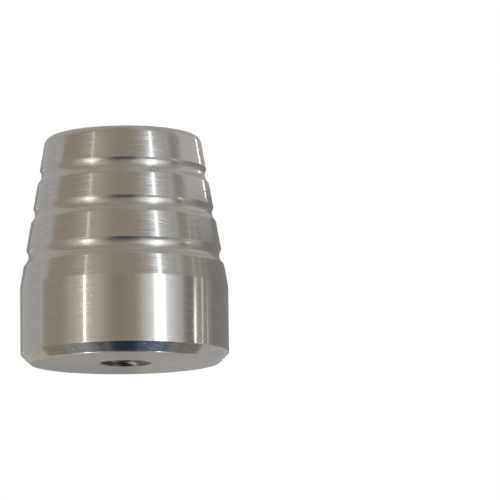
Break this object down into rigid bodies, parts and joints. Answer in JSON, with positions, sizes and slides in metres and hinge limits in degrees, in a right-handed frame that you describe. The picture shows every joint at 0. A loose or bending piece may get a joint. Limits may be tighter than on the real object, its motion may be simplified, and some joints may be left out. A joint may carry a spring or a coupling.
{
  "type": "bar end weight",
  "caption": "Solid turned steel handlebar end weight: a straight band that tapers to a blunt nose, ringed by round grooves, with a blind tapped hole in its large end face.",
  "frame": {"origin": "centre of the large end face, which meets the handlebar's end and on which the part rests", "axes": "+Z along the turning axis, from the large end face to the small end; X and Y are alike"},
  "size_m": [0.032, 0.032, 0.0351],
  "materials": {
    "turned_steel": "bright turned, with fine lathe marks"
  },
  "bodies": {
    "root": {"bar_end_weight": "turned_steel"}
  },
  "joints": []
}
